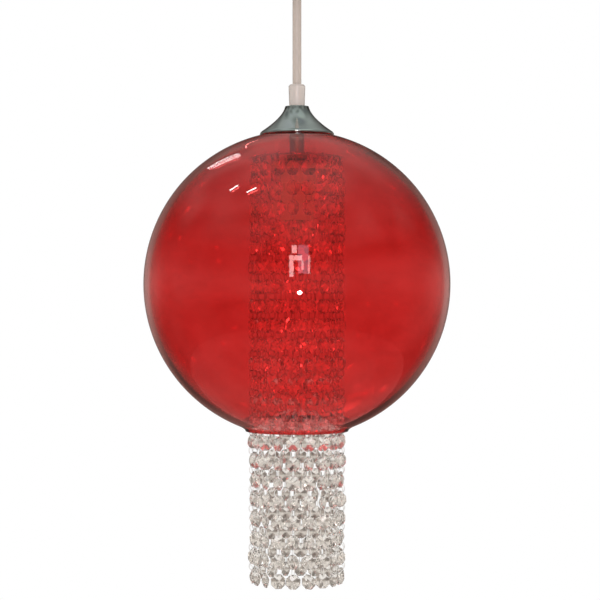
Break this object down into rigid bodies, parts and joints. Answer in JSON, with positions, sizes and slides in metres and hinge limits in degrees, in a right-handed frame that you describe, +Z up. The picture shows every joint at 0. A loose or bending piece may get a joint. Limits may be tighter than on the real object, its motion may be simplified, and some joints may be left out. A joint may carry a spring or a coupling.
{
  "type": "pendant lamp",
  "caption": "Pendant lamp: a red glass globe under a trumpet cap and clear flex, with strands of cut crystals hanging through its open mouth.",
  "frame": {"origin": "middle of the bracket's top face, which meets the ceiling", "axes": "+Z up, along the lamp's own axis; +X and -X point to the canopy's two side screws"},
  "size_m": [0.2996, 0.2996, 0.6179],
  "materials": {
    "zinc_plated_steel": "bright zinc, lightly brushed",
    "chrome_plate": "mirror chrome on spun steel",
    "nickel_plated_brass": "nickel plate, satin",
    "white_thermoplastic": "moulded, semi-gloss",
    "glazed_ceramic": "glazed white",
    "clear_nylon": "clear moulded nylon",
    "clear_pvc_flex": "clear PVC jacket over tinned cores",
    "silicone_rubber": "matt",
    "red_blown_glass": "blown glass, transparent red stain",
    "clear_bulb_glass": "clear",
    "cut_crystal": "machine-cut lead crystal, fire polished"
  },
  "bodies": {
    "ceiling_fitting": {"ceiling_bracket": "zinc_plated_steel", "ceiling_canopy": "chrome_plate", "canopy_screw_left": "nickel_plated_brass", "canopy_screw_right": "nickel_plated_brass", "terminal_block": "white_thermoplastic", "canopy_nipple": "zinc_plated_steel", "canopy_cord_grip": "clear_nylon"},
    "flex": {"pendant_cord": "clear_pvc_flex"},
    "grip": {"cord_grip": "clear_nylon", "grip_screw": "zinc_plated_steel"},
    "lamp": {"threaded_nipple": "nickel_plated_brass", "lampholder_lead": "clear_pvc_flex", "cap": "chrome_plate", "cap_gasket": "silicone_rubber", "globe": "red_blown_glass", "globe_washer": "zinc_plated_steel", "spacer_tube": "zinc_plated_steel", "lock_nut": "zinc_plated_steel", "strand_plate": "chrome_plate", "lampholder_cap": "white_thermoplastic", "lampholder_shell": "white_thermoplastic", "lampholder_contact": "glazed_ceramic", "strand_01_upper": "cut_crystal", "strand_02_upper": "cut_crystal", "strand_03_upper": "cut_crystal", "strand_04_upper": "cut_crystal", "strand_05_upper": "cut_crystal", "strand_06_upper": "cut_crystal", "strand_07_upper": "cut_crystal", "strand_08_upper": "cut_crystal", "strand_09_upper": "cut_crystal", "strand_10_upper": "cut_crystal", "strand_11_upper": "cut_crystal", "strand_12_upper": "cut_crystal", "strand_13_upper": "cut_crystal", "strand_14_upper": "cut_crystal", "strand_15_upper": "cut_crystal", "strand_16_upper": "cut_crystal", "strand_17_upper": "cut_crystal", "strand_18_upper": "cut_crystal"},
    "bulb": {"bulb_screw_cap": "nickel_plated_brass", "bulb_glass": "clear_bulb_glass"},
    "strand_01": {"strand_01_lower": "cut_crystal"},
    "strand_02": {"strand_02_lower": "cut_crystal"},
    "strand_03": {"strand_03_lower": "cut_crystal"},
    "strand_04": {"strand_04_lower": "cut_crystal"},
    "strand_05": {"strand_05_lower": "cut_crystal"},
    "strand_06": {"strand_06_lower": "cut_crystal"},
    "strand_07": {"strand_07_lower": "cut_crystal"},
    "strand_08": {"strand_08_lower": "cut_crystal"},
    "strand_09": {"strand_09_lower": "cut_crystal"},
    "strand_10": {"strand_10_lower": "cut_crystal"},
    "strand_11": {"strand_11_lower": "cut_crystal"},
    "strand_12": {"strand_12_lower": "cut_crystal"},
    "strand_13": {"strand_13_lower": "cut_crystal"},
    "strand_14": {"strand_14_lower": "cut_crystal"},
    "strand_15": {"strand_15_lower": "cut_crystal"},
    "strand_16": {"strand_16_lower": "cut_crystal"},
    "strand_17": {"strand_17_lower": "cut_crystal"},
    "strand_18": {"strand_18_lower": "cut_crystal"}
  },
  "joints": [
    {"name": "cord_swing", "type": "hinge", "parent": "ceiling_fitting", "child": "flex", "pos_m": [0, 0, -0.0444], "axis": [0, 1, 0], "range_deg": [-15, 15]},
    {"name": "lamp_tilt", "type": "hinge", "parent": "flex", "child": "grip", "pos_m": [0, 0, -0.1298], "axis": [1, 0, 0], "range_deg": [-10, 10]},
    {"name": "lamp_turn", "type": "hinge", "parent": "grip", "child": "lamp", "pos_m": [0, 0, -0.1511], "axis": [0, 0, 1], "range_deg": [-90, 90]},
    {"name": "bulb_unscrew", "type": "slide", "parent": "lamp", "child": "bulb", "axis": [0, 0, -1], "range_m": [0, 0.03]},
    {"name": "strand_01_swing", "type": "hinge", "parent": "lamp", "child": "strand_01", "pos_m": [-0.0036, -0.04284, -0.46547], "axis": [-0.9965, 0.0837, 0], "range_deg": [-1, 30]},
    {"name": "strand_02_swing", "type": "hinge", "parent": "lamp", "child": "strand_02", "pos_m": [0.01127, -0.04149, -0.46547], "axis": [-0.965, -0.2622, 0], "range_deg": [-1, 30]},
    {"name": "strand_03_swing", "type": "hinge", "parent": "lamp", "child": "strand_03", "pos_m": [0.02478, -0.03513, -0.46547], "axis": [-0.8171, -0.5764, 0], "range_deg": [-1, 30]},
    {"name": "strand_04_swing", "type": "hinge", "parent": "lamp", "child": "strand_04", "pos_m": [0.0353, -0.02454, -0.46547], "axis": [-0.5707, -0.8211, 0], "range_deg": [-1, 30]},
    {"name": "strand_05_swing", "type": "hinge", "parent": "lamp", "child": "strand_05", "pos_m": [0.04156, -0.01098, -0.46547], "axis": [-0.2554, -0.9668, 0], "range_deg": [-1, 30]},
    {"name": "strand_06_swing", "type": "hinge", "parent": "lamp", "child": "strand_06", "pos_m": [0.04281, 0.0039, -0.46547], "axis": [0.0906, -0.9959, 0], "range_deg": [-1, 30]},
    {"name": "strand_07_swing", "type": "hinge", "parent": "lamp", "child": "strand_07", "pos_m": [0.0389, 0.0183, -0.46547], "axis": [0.4258, -0.9048, 0], "range_deg": [-1, 30]},
    {"name": "strand_08_swing", "type": "hinge", "parent": "lamp", "child": "strand_08", "pos_m": [0.03029, 0.0305, -0.46547], "axis": [0.7096, -0.7046, 0], "range_deg": [-1, 30]},
    {"name": "strand_09_swing", "type": "hinge", "parent": "lamp", "child": "strand_09", "pos_m": [0.01803, 0.03902, -0.46547], "axis": [0.9078, -0.4195, 0], "range_deg": [-1, 30]},
    {"name": "strand_10_swing", "type": "hinge", "parent": "lamp", "child": "strand_10", "pos_m": [0.0036, 0.04284, -0.46547], "axis": [0.9965, -0.0837, 0], "range_deg": [-1, 30]},
    {"name": "strand_11_swing", "type": "hinge", "parent": "lamp", "child": "strand_11", "pos_m": [-0.01127, 0.04149, -0.46547], "axis": [0.965, 0.2622, 0], "range_deg": [-1, 30]},
    {"name": "strand_12_swing", "type": "hinge", "parent": "lamp", "child": "strand_12", "pos_m": [-0.02478, 0.03513, -0.46547], "axis": [0.8171, 0.5764, 0], "range_deg": [-1, 30]},
    {"name": "strand_13_swing", "type": "hinge", "parent": "lamp", "child": "strand_13", "pos_m": [-0.0353, 0.02454, -0.46547], "axis": [0.5707, 0.8211, 0], "range_deg": [-1, 30]},
    {"name": "strand_14_swing", "type": "hinge", "parent": "lamp", "child": "strand_14", "pos_m": [-0.04156, 0.01098, -0.46547], "axis": [0.2554, 0.9668, 0], "range_deg": [-1, 30]},
    {"name": "strand_15_swing", "type": "hinge", "parent": "lamp", "child": "strand_15", "pos_m": [-0.04281, -0.0039, -0.46547], "axis": [-0.0906, 0.9959, 0], "range_deg": [-1, 30]},
    {"name": "strand_16_swing", "type": "hinge", "parent": "lamp", "child": "strand_16", "pos_m": [-0.0389, -0.0183, -0.46547], "axis": [-0.4258, 0.9048, 0], "range_deg": [-1, 30]},
    {"name": "strand_17_swing", "type": "hinge", "parent": "lamp", "child": "strand_17", "pos_m": [-0.03029, -0.0305, -0.46547], "axis": [-0.7096, 0.7046, 0], "range_deg": [-1, 30]},
    {"name": "strand_18_swing", "type": "hinge", "parent": "lamp", "child": "strand_18", "pos_m": [-0.01803, -0.03902, -0.46547], "axis": [-0.9078, 0.4195, 0], "range_deg": [-1, 30]}
  ]
}
